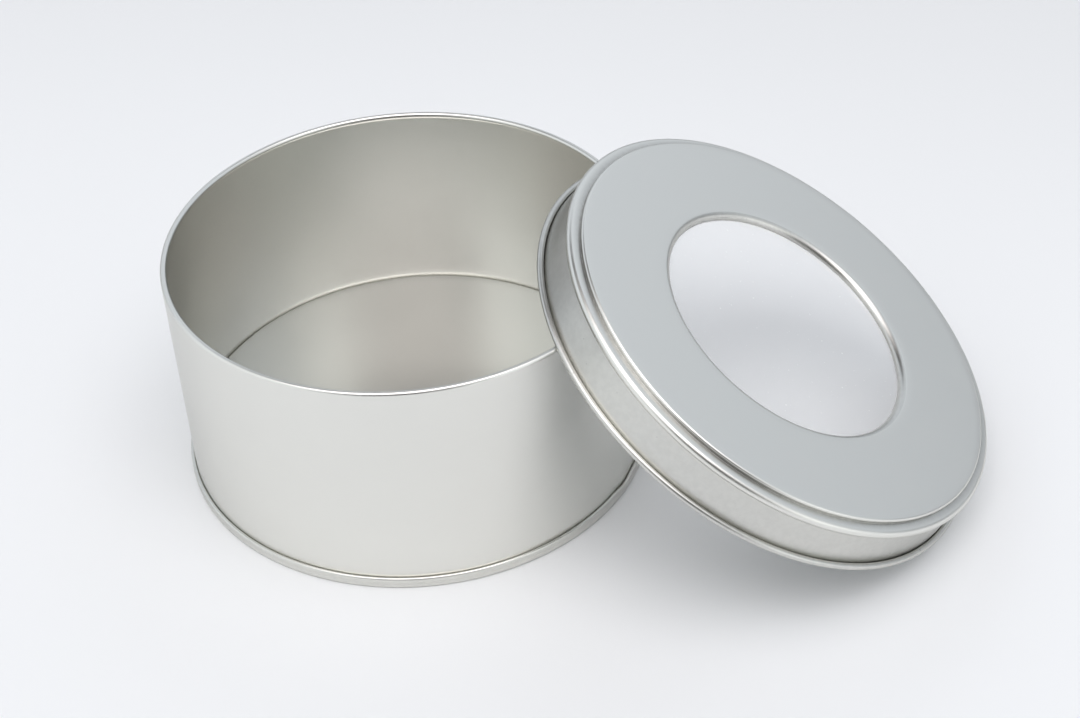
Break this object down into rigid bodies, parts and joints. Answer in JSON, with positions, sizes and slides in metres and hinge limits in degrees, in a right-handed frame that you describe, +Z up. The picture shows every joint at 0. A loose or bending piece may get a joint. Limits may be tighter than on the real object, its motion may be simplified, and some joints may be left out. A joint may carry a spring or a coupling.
{
  "type": "candle tin",
  "caption": "Round seamed tinplate tin with a rolled rim, open, and a slip-on lid with a clear round window leaning on its rim.",
  "frame": {"origin": "centre of the tin's base, in the plane of its foot", "axes": "+Z up along the tin's axis; +X from the tin towards the lid that leans on its rim"},
  "size_m": [0.1913, 0.1158, 0.0713],
  "materials": {
    "tinplate": "satin tinplate, uncoated, with a faint rolling grain",
    "window_film": "clear polished plastic sheet",
    "seam_compound": "matte"
  },
  "bodies": {
    "tin": {"body_wall": "tinplate", "base_disc": "tinplate", "seam_compound": "seam_compound"},
    "lid": {"lid_shell": "tinplate", "window_pane": "window_film"}
  },
  "joints": [
    {"name": "lid_lift", "type": "slide", "parent": "tin", "child": "lid", "axis": [0, 0, 1], "range_m": [0, 0.06]}
  ]
}
